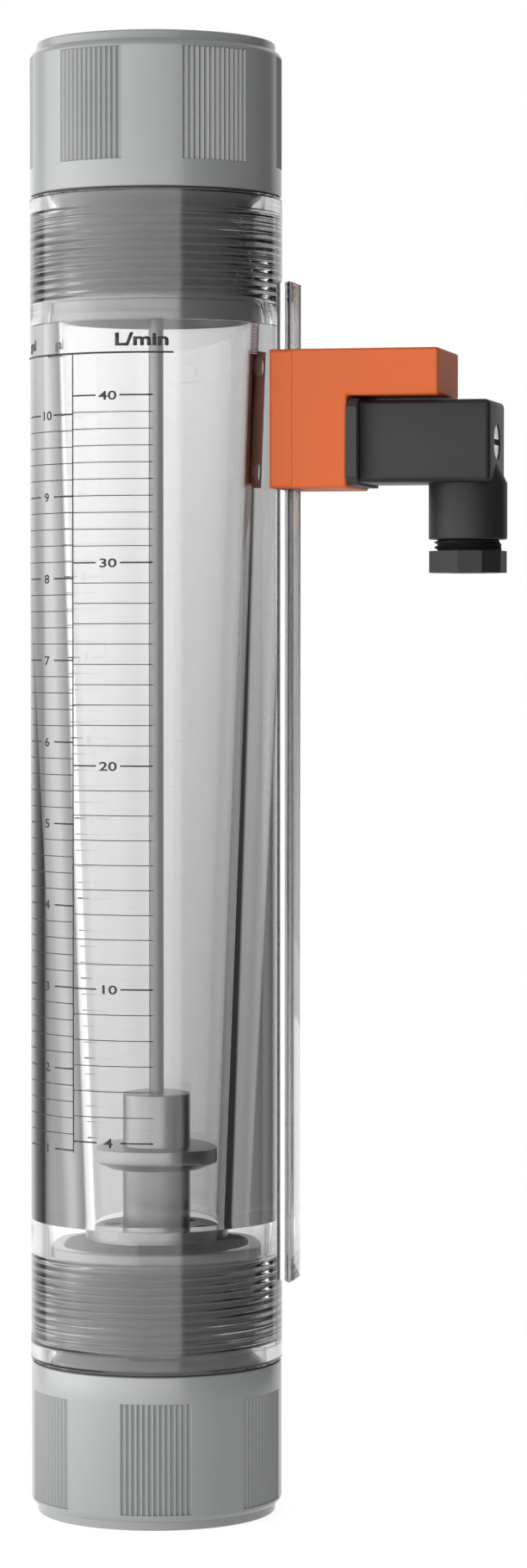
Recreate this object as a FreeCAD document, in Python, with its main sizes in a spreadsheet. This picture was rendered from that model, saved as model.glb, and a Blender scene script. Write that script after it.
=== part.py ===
import FreeCAD, Part
import os

import Sketcher

# Rotameter: a variable-area flow meter for a pipe line, with a limit switch on its rail.
#
# A clear one-piece tube has a tapered bore, a threaded socket at each end and a dovetail rail
# down one side. A fitting with gripping ribs screws into each socket and takes the pipe. A float
# with a ring magnet slides on a guide rod that hangs between two holders in the fittings. The
# switch clamps round the dovetail, holds a reed contact, and carries an angled plug connector
# with a cable gland.
#
# Millimetres. Z is the tube's axis and points up, along the flow. The origin is the centre of
# the lower port's mouth. X points from the axis to the rail.

SIZES = {
    # Tube: the bore widens upwards, so the float rises with the flow.
    "tube_radius": 30.0,
    "tube_length": 275.2,
    "tube_edge_chamfer": 0.4,
    "bore_lower_radius": 14.9,
    "bore_upper_radius": 22.6,
    "lower_socket_depth": 33.2,
    "upper_socket_depth": 30.0,
    # Rail: a neck on the tube that flares to a dovetail.
    "rail_start": 19.5,
    "rail_end_margin": 20.3,
    "rail_root_depth": 1.0,
    "rail_neck_half_width": 2.2,
    "rail_neck_height": 1.7,
    "rail_half_width": 6.25,
    "rail_flare_height": 1.8,
    "rail_edge_height": 0.3,
    # End fittings: a head with gripping ribs, a neck, a thread and a nose.
    "head_inset": 0.2,
    "head_height": 36.1,
    "head_shoulder": 1.0,
    "lip_inset": 1.5,
    "lip_height": 2.2,
    "lip_chamfer": 0.5,
    "grip_margin_outer": 2.4,
    "grip_margin_inner": 6.3,
    "grip_panels": 6,
    "grip_grooves": 13,
    "grip_pitch_angle": 2.5,
    "grip_groove_width": 1.15,
    "grip_groove_depth": 0.55,
    "lower_grip_angle": 43.5,
    "upper_grip_angle": 48.0,
    "neck_radius": 22.6,
    "neck_length": 4.8,
    "thread_radius": 25.6,
    "thread_depth": 1.1,
    "thread_pitch": 1.98,
    "thread_turns": 10,
    "thread_clearance": 0.3,
    "nose_radius": 25.2,
    "nose_chamfer": 0.5,
    "lower_nose_length": 3.3,
    "port_radius": 16.75,
    "port_depth": 24.0,
    "passage_radius": 13.5,
    "chamber_radius": 22.0,
    "chamber_depth": 11.0,
    # Flat seals between each head and the tube's end face.
    "seal_thickness": 0.4,
    "seal_width": 2.8,
    "seal_outer_inset": 0.6,
    # Guide rod, and the holders that its shoulders keep apart.
    "rod_radius": 1.75,
    "rod_end_radius": 1.5,
    "rod_end_stub": 1.5,
    "rod_fit_clearance": 0.05,
    "rod_nut_sides": 6,
    "rod_nut_radius": 3.2,
    "rod_nut_height": 2.4,
    "holder_arms": 3,
    "holder_arm_thickness": 2.5,
    "holder_arm_height": 5.0,
    "holder_arm_clearance": 0.3,
    "holder_hub_radius": 5.0,
    "stop_plate_radius": 17.0,
    "stop_plate_thickness": 3.0,
    "stop_plate_gap": 1.5,
    "stop_cone_radius": 12.0,
    "stop_cone_height": 2.0,
    "stop_hole_radius": 2.4,
    "stop_hole_circle": 11.4,
    "stop_holes": 6,
    "upper_stop_height": 3.2,
    # Float: a weighted hub with a reading disc, sealed round a ring magnet.
    "float_hub_radius": 8.05,
    "float_height": 31.6,
    "float_disc_radius": 14.5,
    "float_disc_top": 19.1,
    "float_rim_height": 3.3,
    "float_cone_radius": 10.9,
    "float_cone_height": 1.85,
    "float_chamfer": 0.5,
    "float_rod_clearance": 0.25,
    "float_cavity_radius": 6.4,
    "float_cavity_height": 24.0,
    "float_plug_height": 6.0,
    "float_rest_gap": 0.1,
    "magnet_inner_radius": 3.0,
    "magnet_height": 17.5,
    "magnet_clearance": 0.1,
    # Limit switch: a clamp on the dovetail and a housing screwed to it.
    "switch_rail_margin": 16.3,
    "switch_width": 27.0,
    "switch_height": 32.3,
    "switch_wall_gap": 0.4,
    "clamp_depth": 5.4,
    "clamp_fit_clearance": 0.25,
    "housing_depth": 13.0,
    "housing_wall": 2.0,
    "arm_height": 10.9,
    "arm_reach": 21.6,
    "switch_edge_radius": 1.0,
    "clamp_screw_radius": 1.25,
    "clamp_screw_head_radius": 2.3,
    "clamp_screw_head_height": 1.5,
    "clamp_screw_sink": 0.6,
    "clamp_screw_length": 11.0,
    "clamp_screw_inset": 3.7,
    "screw_clearance": 0.05,
    "screw_boss_radius": 3.4,
    # Reed contact on its circuit board, inside the housing.
    "board_boss_gap": 0.4,
    "board_height": 25.0,
    "board_thickness": 1.6,
    "board_gap": 4.0,
    "reed_radius": 1.3,
    "reed_length": 14.0,
    "reed_lead_radius": 0.3,
    "reed_lead_length": 3.0,
    # Plug connector under the arm: gasket, housing and terminal insert.
    "gasket_thickness": 2.5,
    "gasket_width": 28.4,
    "gasket_start": 0.6,
    "gasket_height": 20.1,
    "gasket_corner": 2.0,
    "connector_length": 30.7,
    "connector_width": 21.4,
    "connector_start": 1.2,
    "connector_height": 19.2,
    "connector_wall": 2.0,
    "connector_end_wall": 5.0,
    "connector_edge_radius": 1.2,
    "insert_length": 14.0,
    "insert_ledge": 1.0,
    "insert_clearance": 0.1,
    "blade_width": 4.8,
    "blade_thickness": 0.8,
    "blade_offset": 5.4,
    "blade_edge_margin": 0.2,
    "blade_reach": 9.0,
    "blade_clearance": 0.05,
    "plug_screw_radius": 1.5,
    "plug_screw_head_radius": 4.25,
    "plug_screw_head_height": 2.2,
    "plug_screw_recess": 0.3,
    "plug_screw_cross_width": 0.8,
    "plug_screw_bite": 5.0,
    "plug_screw_slot_width": 1.4,
    "plug_screw_slot_depth": 0.9,
    "plug_screw_boss_radius": 3.2,
    "plug_screw_boss_length": 3.6,
    # Cable gland: stub, thread, rubber seal, slip washer and ten-sided nut.
    "gland_axis": 45.1,
    "stub_radius": 9.2,
    "stub_drop": 13.1,
    "stub_cone_height": 10.0,
    "stub_cone_radius": 4.4,
    "gland_thread_radius": 7.96,
    "gland_thread_length": 4.9,
    "gland_bore_radius": 6.2,
    "gland_throat_radius": 4.8,
    "gland_seat_depth": 6.0,
    "gland_seal_height": 4.2,
    "cable_radius": 4.0,
    "washer_radius": 5.9,
    "washer_thickness": 0.6,
    "washer_hole_radius": 4.4,
    "nut_radius": 9.1,
    "nut_sides": 10,
    "nut_turn_angle": 12.5,
    "nut_height": 5.1,
    "nut_floor": 1.2,
    "nut_collar_radius": 5.8,
    "nut_collar_height": 1.3,
    "nut_gap": 2.7,
    "nut_thread_clearance": 0.15,
    "nut_mouth_radius": 4.6,
}

doc = FreeCAD.newDocument("rotameter")


class Size:
    """A dimension that knows both its number and the expression that gives it."""

    def __init__(self, value, text):
        self.value = value
        self.text = text

    def __add__(self, other):
        other = as_size(other)
        return Size(self.value + other.value, f"({self.text} + {other.text})")

    def __sub__(self, other):
        other = as_size(other)
        return Size(self.value - other.value, f"({self.text} - {other.text})")

    def __mul__(self, other):
        other = as_size(other)
        return Size(self.value * other.value, f"({self.text} * {other.text})")

    def __truediv__(self, other):
        other = as_size(other)
        return Size(self.value / other.value, f"({self.text} / {other.text})")

    def __neg__(self):
        return Size(-self.value, f"(-1 * {self.text})")


def as_size(number):
    return number if isinstance(number, Size) else Size(float(number), repr(float(number)))


class SizeSheet:
    """The spreadsheet of driving dimensions, read as sheet.alias."""

    def __init__(self):
        self.cells = doc.addObject("Spreadsheet::Sheet", "sizes")
        for row, (alias, number) in enumerate(SIZES.items(), start=1):
            self.cells.set(f"A{row}", alias)
            self.cells.set(f"B{row}", str(number))
            self.cells.setAlias(f"B{row}", alias)
        doc.recompute()

    def __getattr__(self, alias):
        return Size(float(SIZES[alias]), f"sizes.{alias}")


size = SizeSheet()
ZERO = as_size(0)


# Small tools for sketches, bodies and primitives.

def bind(thing, prop, dimension, unit=""):
    """Give a property its number from the sheet."""
    thing.setExpression(prop, as_size(dimension).text + unit)


def place(thing, x=0, y=0, z=0):
    for axis, distance in (("x", x), ("y", y), ("z", z)):
        bind(thing, f".Placement.Base.{axis}", distance)
    return thing


def origin_feature(body, role):
    return next(feature for feature in body.Origin.OriginFeatures if feature.Role == role)


def new_body(label):
    body = doc.addObject("PartDesign::Body", label)
    body.Label = label
    return body


def sketch_on(body, plane, name, offset=ZERO):
    """Add a sketch on one of the body's own planes, moved along the plane's normal."""
    sketch = body.newObject("Sketcher::SketchObject", name)
    sketch.AttachmentSupport = [(origin_feature(body, plane), "")]
    sketch.MapMode = "FlatFace"
    bind(sketch, "AttachmentOffset.Base.z", offset)
    return sketch


def fix_point(sketch, edge, end, across, up):
    """Hold one end of an edge, or a centre, at its distances from the sketch's origin."""
    for direction, distance, axis in (("DistanceX", across, -2), ("DistanceY", up, -1)):
        if distance.text == ZERO.text:
            sketch.addConstraint(Sketcher.Constraint("PointOnObject", edge, end, axis))
        elif distance.value < 0:
            rule = Sketcher.Constraint(direction, edge, end, -1, 1, -distance.value)
            sketch.setExpression(f"Constraints[{sketch.addConstraint(rule)}]", (-distance).text)
        else:
            rule = Sketcher.Constraint(direction, -1, 1, edge, end, distance.value)
            sketch.setExpression(f"Constraints[{sketch.addConstraint(rule)}]", distance.text)


def draw_outline(sketch, points):
    """Draw a closed outline of straight edges through (across, up) points."""
    points = [(as_size(across), as_size(up)) for across, up in points]
    corners = [FreeCAD.Vector(across.value, up.value, 0) for across, up in points]
    first = sketch.GeometryCount
    for index, corner in enumerate(corners):
        sketch.addGeometry(Part.LineSegment(corner, corners[(index + 1) % len(corners)]))
    for index in range(len(corners)):
        following = first + (index + 1) % len(corners)
        sketch.addConstraint(Sketcher.Constraint("Coincident", first + index, 2, following, 1))
    for index, (across, up) in enumerate(points):
        fix_point(sketch, first + index, 1, across, up)


def draw_box(sketch, left, bottom, right, top):
    draw_outline(sketch, [(left, bottom), (right, bottom), (right, top), (left, top)])


def draw_circle(sketch, across, up, radius):
    across, up, radius = as_size(across), as_size(up), as_size(radius)
    centre = FreeCAD.Vector(across.value, up.value, 0)
    edge = sketch.addGeometry(Part.Circle(centre, FreeCAD.Vector(0, 0, 1), radius.value))
    rule = Sketcher.Constraint("Radius", edge, radius.value)
    sketch.setExpression(f"Constraints[{sketch.addConstraint(rule)}]", radius.text)
    fix_point(sketch, edge, 3, across, up)


def revolve(body, name, points, axis_x=None, cut=False):
    """Turn an outline of (radius, height) points about Z, or about an upright axis out at X."""
    sketch = sketch_on(body, "XZ_Plane", name + "_profile")
    axis = "V_Axis"
    if axis_x is not None:
        ends = [(axis_x, as_size(height)) for height in (points[0][1], points[-1][1])]
        line = Part.LineSegment(*(FreeCAD.Vector(x.value, z.value, 0) for x, z in ends))
        edge = sketch.addGeometry(line, True)
        for end, (x, z) in enumerate(ends, start=1):
            fix_point(sketch, edge, end, x, z)
        points = [(axis_x + radius, height) for radius, height in points]
        axis = "Axis0"
    draw_outline(sketch, points)
    turn = body.newObject("PartDesign::Groove" if cut else "PartDesign::Revolution", name)
    turn.Profile = sketch
    turn.ReferenceAxis = (sketch, [axis])
    turn.Angle = 360
    body.Tip = turn
    return turn


def extrude(body, sketch, length, cut=False, symmetric=False):
    """Pad or pocket a sketch towards the side that its plane's normal points to."""
    kind = "Pocket" if cut else "Pad"
    feature = body.newObject(f"PartDesign::{kind}", f"{sketch.Name}_{kind.lower()}")
    feature.Profile = sketch
    bind(feature, "Length", length)
    feature.Reversed = cut
    if symmetric:
        feature.SideType = "Symmetric"
    body.Tip = feature
    return feature


def repeat_round(body, name, feature, count):
    """Repeat a feature evenly round the body's Z axis."""
    pattern = body.newObject("PartDesign::PolarPattern", name)
    pattern.Originals = [feature]
    pattern.Axis = (origin_feature(body, "Z_Axis"), [""])
    pattern.Angle = 360
    bind(pattern, "Occurrences", count)
    body.Tip = pattern
    return pattern


def round_edges(body, name, feature, radius, chosen):
    """Round the straight edges of a feature that the test picks by direction and middle."""
    doc.recompute()
    names = [
        f"Edge{number}"
        for number, edge in enumerate(feature.Shape.Edges, start=1)
        if edge.Curve.TypeId == "Part::GeomLine"
        and chosen(edge.Curve.Direction, edge.CenterOfMass)
    ]
    rounding = body.newObject("PartDesign::Fillet", name)
    rounding.Base = (feature, names)
    bind(rounding, "Radius", radius)
    body.Tip = rounding
    return rounding


def near(number, dimension):
    return abs(number - dimension.value) < 1e-4


def along_y(direction):
    return abs(direction.y) > 0.999


def cylinder(name, radius, height, x, y, z, towards_x=False):
    """A Part cylinder that starts at a point and runs up, or out along X."""
    shape = doc.addObject("Part::Cylinder", name)
    bind(shape, "Radius", radius)
    bind(shape, "Height", height)
    if towards_x:
        shape.Placement.Rotation = FreeCAD.Rotation(FreeCAD.Vector(0, 1, 0), 90)
    return place(shape, x, y, z)


def prism(name, sides, radius, height, x, z):
    shape = doc.addObject("Part::Prism", name)
    bind(shape, "Polygon", sides)
    bind(shape, "Circumradius", radius)
    bind(shape, "Height", height)
    return place(shape, x=x, z=z)


def box(name, length, width, height, x, middle_y, z):
    """A Part box from its low X and Z sides and the middle of its width."""
    shape = doc.addObject("Part::Box", name)
    bind(shape, "Length", length)
    bind(shape, "Width", width)
    bind(shape, "Height", height)
    return place(shape, x, as_size(middle_y) - as_size(width) / 2, z)


def cut(name, base, tool):
    result = doc.addObject("Part::Cut", name)
    result.Base = base
    result.Tool = tool
    return result


def fuse(name, *shapes):
    result = doc.addObject("Part::MultiFuse", name)
    result.Shapes = list(shapes)
    return result


def group(name, *shapes):
    result = doc.addObject("Part::Compound", name)
    result.Links = list(shapes)
    return result


# Heights along the meter and places out along X that several pieces share.

tube_base = size.head_height + size.seal_thickness
tube_top = tube_base + size.tube_length
overall_height = tube_top + size.seal_thickness + size.head_height
lower_shoulder = tube_base + size.lower_socket_depth
upper_shoulder = tube_top - size.upper_socket_depth

rail_neck_end = size.tube_radius + size.rail_neck_height
rail_flare_end = rail_neck_end + size.rail_flare_height
rail_face = rail_flare_end + size.rail_edge_height
rail_base = tube_base + size.rail_start
rail_length = size.tube_length - size.rail_start - size.rail_end_margin
rail_top = rail_base + rail_length

head_radius = size.tube_radius - size.head_inset
lip_radius = head_radius - size.lip_inset
socket_radius = size.thread_radius + size.thread_clearance
thread_start = size.head_height + size.neck_length
thread_end = thread_start + size.thread_pitch * size.thread_turns
lower_nose_end = thread_end + size.lower_nose_length
upper_nose_end = overall_height - upper_shoulder

lower_arm_base = lower_nose_end - size.chamber_depth
upper_arm_top = upper_shoulder + size.chamber_depth
stop_top = lower_shoulder - size.stop_plate_gap
upper_stop = upper_shoulder + size.upper_stop_height

float_base = stop_top + size.float_rest_gap
float_bore_radius = size.rod_radius + size.float_rod_clearance
plug_top = float_base + size.float_plug_height

switch_top = rail_top - size.switch_rail_margin
switch_base = switch_top - size.switch_height
switch_middle = switch_base + size.switch_height / 2
clamp_inner = size.tube_radius + size.switch_wall_gap
clamp_outer = clamp_inner + size.clamp_depth
housing_outer = clamp_outer + size.housing_depth
arm_base = switch_top - size.arm_height
arm_outer = housing_outer + size.arm_reach

gasket_base = switch_base + size.gasket_start
gasket_outer = housing_outer + size.gasket_thickness
connector_base = switch_base + size.connector_start
connector_top = connector_base + size.connector_height
connector_outer = gasket_outer + size.connector_length
connector_middle = connector_base + size.connector_height / 2
insert_end = gasket_outer + size.insert_length
board_inner = clamp_outer + size.board_gap
board_outer = board_inner + size.board_thickness
screw_side = size.switch_width / 2 - size.clamp_screw_inset
board_half_width = screw_side - size.screw_boss_radius - size.board_boss_gap
side_blade = board_half_width - size.blade_edge_margin - size.blade_thickness / 2

gland_x = size.tube_radius + size.gland_axis
stub_end = connector_base - size.stub_drop
gland_thread_end = stub_end - size.gland_thread_length
seal_seat = gland_thread_end + size.gland_seat_depth
nut_base = stub_end - size.nut_gap - size.nut_height
nut_collar_top = nut_base + size.nut_floor + size.nut_collar_height


# Tube, seals and end fittings.

def measuring_tube():
    """Clear tube: tapered bore, a socket at each end, and the dovetail rail."""
    chamfered_radius = size.tube_radius - size.tube_edge_chamfer
    body = new_body("measuring_tube")
    revolve(body, "tube_wall", [
        (socket_radius, tube_base),
        (chamfered_radius, tube_base),
        (size.tube_radius, tube_base + size.tube_edge_chamfer),
        (size.tube_radius, tube_top - size.tube_edge_chamfer),
        (chamfered_radius, tube_top),
        (socket_radius, tube_top),
        (socket_radius, upper_shoulder),
        (size.bore_upper_radius, upper_shoulder),
        (size.bore_lower_radius, lower_shoulder),
        (socket_radius, lower_shoulder),
    ])
    rail = sketch_on(body, "XY_Plane", "rail", rail_base)
    rail_root = size.tube_radius - size.rail_root_depth
    draw_outline(rail, [
        (rail_root, -size.rail_neck_half_width),
        (rail_neck_end, -size.rail_neck_half_width),
        (rail_flare_end, -size.rail_half_width),
        (rail_face, -size.rail_half_width),
        (rail_face, size.rail_half_width),
        (rail_flare_end, size.rail_half_width),
        (rail_neck_end, size.rail_neck_half_width),
        (rail_root, size.rail_neck_half_width),
    ])
    extrude(body, rail, rail_length)
    return body


def end_fitting(label, nose_end, grip_angle):
    """Pipe fitting with its port at the bottom: ribbed head, neck, thread and hollow nose."""
    thread_root = size.thread_radius - size.thread_depth
    ridges = []
    for turn in range(round(SIZES["thread_turns"])):
        ridge_start = thread_start + size.thread_pitch * turn
        ridges.append((thread_root, ridge_start))
        ridges.append((size.thread_radius, ridge_start + size.thread_pitch / 2))
    body = new_body(label)
    revolve(body, label + "_turned", [
        (size.port_radius, ZERO),
        (lip_radius - size.lip_chamfer, ZERO),
        (lip_radius, size.lip_chamfer),
        (lip_radius, size.lip_height),
        (head_radius - size.head_shoulder, size.lip_height),
        (head_radius, size.lip_height + size.head_shoulder),
        (head_radius, size.head_height),
        (size.neck_radius, size.head_height),
        (size.neck_radius, thread_start),
        *ridges,
        (thread_root, thread_end),
        (size.nose_radius, thread_end),
        (size.nose_radius, nose_end - size.nose_chamfer),
        (size.nose_radius - size.nose_chamfer, nose_end),
        (size.chamber_radius, nose_end),
        (size.chamber_radius, nose_end - size.chamber_depth),
        (size.passage_radius, nose_end - size.chamber_depth),
        (size.passage_radius, size.port_depth),
        (size.port_radius, size.port_depth),
    ])
    add_grip_panels(body, label, grip_angle)
    return body


def add_grip_panels(body, label, grip_angle):
    """Cut panels of upright V grooves into the head."""
    section = sketch_on(body, "XY_Plane", label + "_groove", size.grip_margin_outer)
    first_angle = grip_angle - size.grip_pitch_angle * (size.grip_grooves - 1) / 2
    bind(section, "AttachmentOffset.Rotation.Angle", first_angle, " * 1 deg")
    # The V reaches as far out of the head as into it, so at the head's skin it has half its width.
    draw_outline(section, [
        (head_radius - size.grip_groove_depth, ZERO),
        (head_radius + size.grip_groove_depth, -size.grip_groove_width),
        (head_radius + size.grip_groove_depth, size.grip_groove_width),
    ])
    grip_length = size.head_height - size.grip_margin_outer - size.grip_margin_inner
    groove = extrude(body, section, grip_length, cut=True)
    panel = body.newObject("PartDesign::PolarPattern", label + "_panel")
    panel.Axis = (origin_feature(body, "Z_Axis"), [""])
    panel.Mode = "Spacing"
    bind(panel, "Offset", size.grip_pitch_angle)
    bind(panel, "Occurrences", size.grip_grooves)
    ring = body.newObject("PartDesign::PolarPattern", label + "_ring")
    ring.Axis = (origin_feature(body, "Z_Axis"), [""])
    ring.Angle = 360
    bind(ring, "Occurrences", size.grip_panels)
    grip = body.newObject("PartDesign::MultiTransform", label + "_grip")
    grip.Originals = [groove]
    grip.Transformations = [panel, ring]
    body.Tip = grip


def upper_fitting():
    """The upper fitting is drawn as the lower one and turned over."""
    body = end_fitting("upper_fitting", upper_nose_end, size.upper_grip_angle)
    body.Placement.Rotation = FreeCAD.Rotation(FreeCAD.Vector(1, 0, 0), 180)
    place(body, z=overall_height)
    return body


def flat_seal(label, height):
    outer_radius = head_radius - size.seal_outer_inset
    inner_radius = outer_radius - size.seal_width
    body = new_body(label)
    revolve(body, label + "_ring", [
        (inner_radius, height),
        (outer_radius, height),
        (outer_radius, height + size.seal_thickness),
        (inner_radius, height + size.seal_thickness),
    ])
    return body


# Guide rod, its holders and nuts. The rod's shoulders keep the holders apart, so each stays
# seated on the ledge in its fitting.

def guide_rod():
    start = lower_arm_base - size.rod_nut_height - size.rod_end_stub
    end = upper_arm_top + size.rod_nut_height + size.rod_end_stub
    body = new_body("guide_rod")
    revolve(body, "rod", [
        (ZERO, start),
        (size.rod_end_radius, start),
        (size.rod_end_radius, stop_top),
        (size.rod_radius, stop_top),
        (size.rod_radius, upper_stop),
        (size.rod_end_radius, upper_stop),
        (size.rod_end_radius, end),
        (ZERO, end),
    ])
    return body


def add_holder_arms(body, label, base):
    """Arms from the hub out to the chamber wall of the fitting."""
    arm = sketch_on(body, "XY_Plane", label + "_arm", base)
    half_thickness = size.holder_arm_thickness / 2
    inner_end = (size.rod_end_radius + size.holder_hub_radius) / 2
    outer_end = size.chamber_radius - size.holder_arm_clearance
    draw_box(arm, inner_end, -half_thickness, outer_end, half_thickness)
    pad = extrude(body, arm, size.holder_arm_height)
    repeat_round(body, label + "_arms", pad, size.holder_arms)


def lower_rod_holder():
    """Stop plate with flow holes, over a hub whose arms rest in the lower fitting."""
    hole = size.rod_end_radius + size.rod_fit_clearance
    plate_base = stop_top - size.stop_plate_thickness
    body = new_body("lower_rod_holder")
    revolve(body, "stop_plate", [
        (hole, lower_arm_base),
        (size.holder_hub_radius, lower_arm_base),
        (size.holder_hub_radius, plate_base - size.stop_cone_height),
        (size.stop_cone_radius, plate_base - size.stop_cone_height),
        (size.stop_plate_radius, plate_base),
        (size.stop_plate_radius, stop_top),
        (hole, stop_top),
    ])
    flow_hole = sketch_on(body, "XY_Plane", "flow_hole", plate_base - size.stop_cone_height)
    draw_circle(flow_hole, size.stop_hole_circle, ZERO, size.stop_hole_radius)
    drilled = extrude(body, flow_hole, size.stop_cone_height + size.stop_plate_thickness, cut=True)
    repeat_round(body, "flow_holes", drilled, size.stop_holes)
    add_holder_arms(body, "lower_holder", lower_arm_base)
    return body


def upper_rod_holder():
    """Hub that stops the float, with arms that rest in the upper fitting."""
    hole = size.rod_end_radius + size.rod_fit_clearance
    body = new_body("upper_rod_holder")
    revolve(body, "upper_hub", [
        (hole, upper_stop),
        (size.holder_hub_radius, upper_stop),
        (size.holder_hub_radius, upper_arm_top),
        (hole, upper_arm_top),
    ])
    add_holder_arms(body, "upper_holder", upper_arm_top - size.holder_arm_height)
    return body


def rod_nut(label, base):
    blank = prism(label + "_blank", size.rod_nut_sides, size.rod_nut_radius,
                  size.rod_nut_height, ZERO, base)
    hole_radius = size.rod_end_radius + size.rod_fit_clearance
    hole = cylinder(label + "_hole", hole_radius, size.rod_nut_height * 2,
                    ZERO, ZERO, base - size.rod_nut_height / 2)
    return cut(label, blank, hole)


# Float: turned body, ring magnet and the plug that seals it in.

def float_body():
    disc_top = float_base + size.float_disc_top
    rim_base = disc_top - size.float_rim_height
    cone_base = rim_base - size.float_cone_height
    top = float_base + size.float_height
    cavity_top = float_base + size.float_cavity_height
    hub = size.float_hub_radius
    body = new_body("float_body")
    revolve(body, "float_turned", [
        (size.float_cavity_radius, float_base),
        (hub - size.float_chamfer, float_base),
        (hub, float_base + size.float_chamfer),
        (hub, cone_base),
        (size.float_cone_radius, cone_base),
        (size.float_disc_radius, rim_base),
        (size.float_disc_radius, disc_top),
        (hub, disc_top),
        (hub, top - size.float_chamfer),
        (hub - size.float_chamfer, top),
        (float_bore_radius, top),
        (float_bore_radius, cavity_top),
        (size.float_cavity_radius, cavity_top),
    ])
    return body


def float_end_plug():
    body = new_body("float_end_plug")
    revolve(body, "plug_turned", [
        (float_bore_radius, float_base),
        (size.float_cavity_radius, float_base),
        (size.float_cavity_radius, plug_top),
        (float_bore_radius, plug_top),
    ])
    return body


def float_magnet():
    outer_radius = size.float_cavity_radius - size.magnet_clearance
    body = new_body("float_magnet")
    revolve(body, "magnet_ring", [
        (size.magnet_inner_radius, plug_top),
        (outer_radius, plug_top),
        (outer_radius, plug_top + size.magnet_height),
        (size.magnet_inner_radius, plug_top + size.magnet_height),
    ])
    return body


# Limit switch: clamp, housing, screws, reed contact and circuit board.

def clamp_screw_places():
    """The four screws as (name, y, z)."""
    low = switch_base + size.clamp_screw_inset
    high = switch_top - size.clamp_screw_inset
    return [("near_low", -screw_side, low), ("far_low", screw_side, low),
            ("near_high", -screw_side, high), ("far_high", screw_side, high)]


def switch_clamp():
    """Block with a dovetail channel that slides on the rail."""
    gap = size.clamp_fit_clearance
    half_width = size.switch_width / 2
    channel_neck = size.rail_neck_half_width + gap
    channel_half = size.rail_half_width + gap
    body = new_body("switch_clamp")
    section = sketch_on(body, "XY_Plane", "clamp_section", switch_base)
    draw_outline(section, [
        (clamp_inner, -half_width),
        (clamp_outer, -half_width),
        (clamp_outer, half_width),
        (clamp_inner, half_width),
        (clamp_inner, channel_neck),
        (rail_neck_end - gap, channel_neck),
        (rail_flare_end - gap, channel_half),
        (rail_face + gap, channel_half),
        (rail_face + gap, -channel_half),
        (rail_flare_end - gap, -channel_half),
        (rail_neck_end - gap, -channel_neck),
        (clamp_inner, -channel_neck),
    ])
    block = extrude(body, section, size.switch_height)
    round_edges(
        body, "clamp_rounding", block, size.switch_edge_radius,
        lambda way, middle: near(abs(middle.y), half_width) and not near(middle.x, clamp_outer))
    head_hole = size.clamp_screw_head_radius + size.screw_clearance
    shaft_hole = size.clamp_screw_radius + size.screw_clearance
    sunk = size.clamp_screw_sink + size.clamp_screw_head_height
    hole_kinds = [
        ("clamp_head_holes", head_hole, sunk),
        ("clamp_shaft_holes", shaft_hole, size.clamp_depth),
    ]
    for name, radius, depth in hole_kinds:
        holes = sketch_on(body, "YZ_Plane", name, clamp_inner)
        for _, y, z in clamp_screw_places():
            draw_circle(holes, y, z, radius)
        extrude(body, holes, depth, cut=True)
    return body


def switch_housing():
    """Angled hollow housing: a block behind the clamp and an arm over the connector."""
    wall = size.housing_wall
    body = new_body("switch_housing")
    side = sketch_on(body, "XZ_Plane", "housing_side")
    draw_outline(side, [
        (clamp_outer, switch_base),
        (housing_outer, switch_base),
        (housing_outer, arm_base),
        (arm_outer, arm_base),
        (arm_outer, switch_top),
        (clamp_outer, switch_top),
    ])
    block = extrude(body, side, size.switch_width, symmetric=True)
    half_width = size.switch_width / 2
    round_edges(
        body, "housing_rounding", block, size.switch_edge_radius,
        lambda way, middle: not near(middle.x, clamp_outer) and not (
            along_y(way) and near(middle.x, housing_outer) and near(middle.z, arm_base)))
    hollow = sketch_on(body, "XZ_Plane", "housing_hollow")
    draw_outline(hollow, [
        (clamp_outer, switch_base + wall),
        (housing_outer - wall, switch_base + wall),
        (housing_outer - wall, arm_base + wall),
        (arm_outer - wall, arm_base + wall),
        (arm_outer - wall, switch_top - wall),
        (clamp_outer, switch_top - wall),
    ])
    extrude(body, hollow, size.switch_width - wall * 2, cut=True, symmetric=True)
    bosses = sketch_on(body, "YZ_Plane", "screw_bosses", clamp_outer)
    for _, y, z in clamp_screw_places():
        draw_circle(bosses, y, z, size.screw_boss_radius)
    extrude(body, bosses, size.housing_depth - wall)
    boss_start = housing_outer - wall - size.plug_screw_boss_length
    plug_boss = sketch_on(body, "YZ_Plane", "plug_boss", boss_start)
    draw_circle(plug_boss, ZERO, connector_middle, size.plug_screw_boss_radius)
    extrude(body, plug_boss, size.plug_screw_boss_length)
    pilot_depth = size.clamp_screw_sink + size.clamp_screw_length - size.clamp_depth
    pilots = sketch_on(body, "YZ_Plane", "pilot_holes", clamp_outer)
    for _, y, z in clamp_screw_places():
        draw_circle(pilots, y, z, size.clamp_screw_radius + size.screw_clearance)
    extrude(body, pilots, pilot_depth, cut=True)
    plug_pilot = sketch_on(body, "YZ_Plane", "plug_pilot", housing_outer - size.plug_screw_bite)
    draw_circle(plug_pilot, ZERO, connector_middle, size.plug_screw_radius + size.screw_clearance)
    extrude(body, plug_pilot, size.plug_screw_bite, cut=True)
    slots = sketch_on(body, "YZ_Plane", "blade_slots", housing_outer - wall)
    draw_blade_slots(slots)
    extrude(body, slots, wall, cut=True)
    return body


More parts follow.
